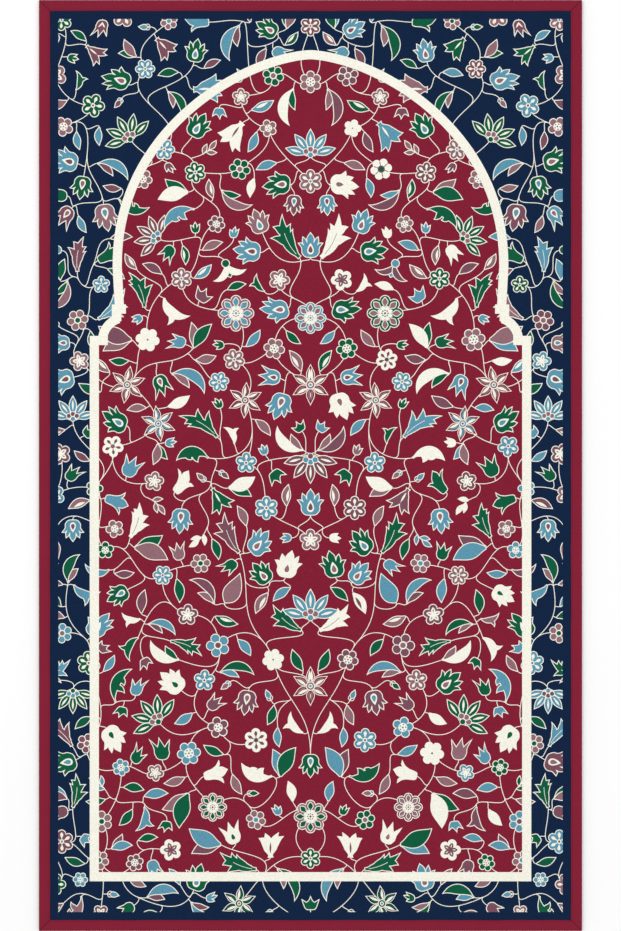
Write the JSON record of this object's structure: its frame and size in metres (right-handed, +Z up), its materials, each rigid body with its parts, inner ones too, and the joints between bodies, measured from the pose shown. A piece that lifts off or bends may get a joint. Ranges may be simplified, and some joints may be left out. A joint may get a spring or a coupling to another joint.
{
  "type": "prayer rug",
  "caption": "Flat low-pile prayer rug: a pointed-arch niche and border with small flowers, its four edges bound with folded tape.",
  "frame": {"origin": "on the floor under the middle of the rug", "axes": "+X across the rug to its right side, +Y along it to the head of the niche, +Z up out of the pile"},
  "size_m": [0.7, 1.2, 0.006],
  "materials": {
    "pile_crimson": "matte",
    "pile_navy": "matte",
    "pile_cream": "matte",
    "pile_green": "matte",
    "pile_blue": "matte",
    "pile_mauve": "matte",
    "pile_plum": "matte",
    "binding_tape": "satin",
    "woven_back": "matte",
    "sewing_thread": "satin"
  },
  "bodies": {
    "root": {"rug": "pile_crimson", "binding_left": "binding_tape", "binding_right": "binding_tape", "binding_head": "binding_tape", "binding_foot": "binding_tape"}
  },
  "joints": []
}
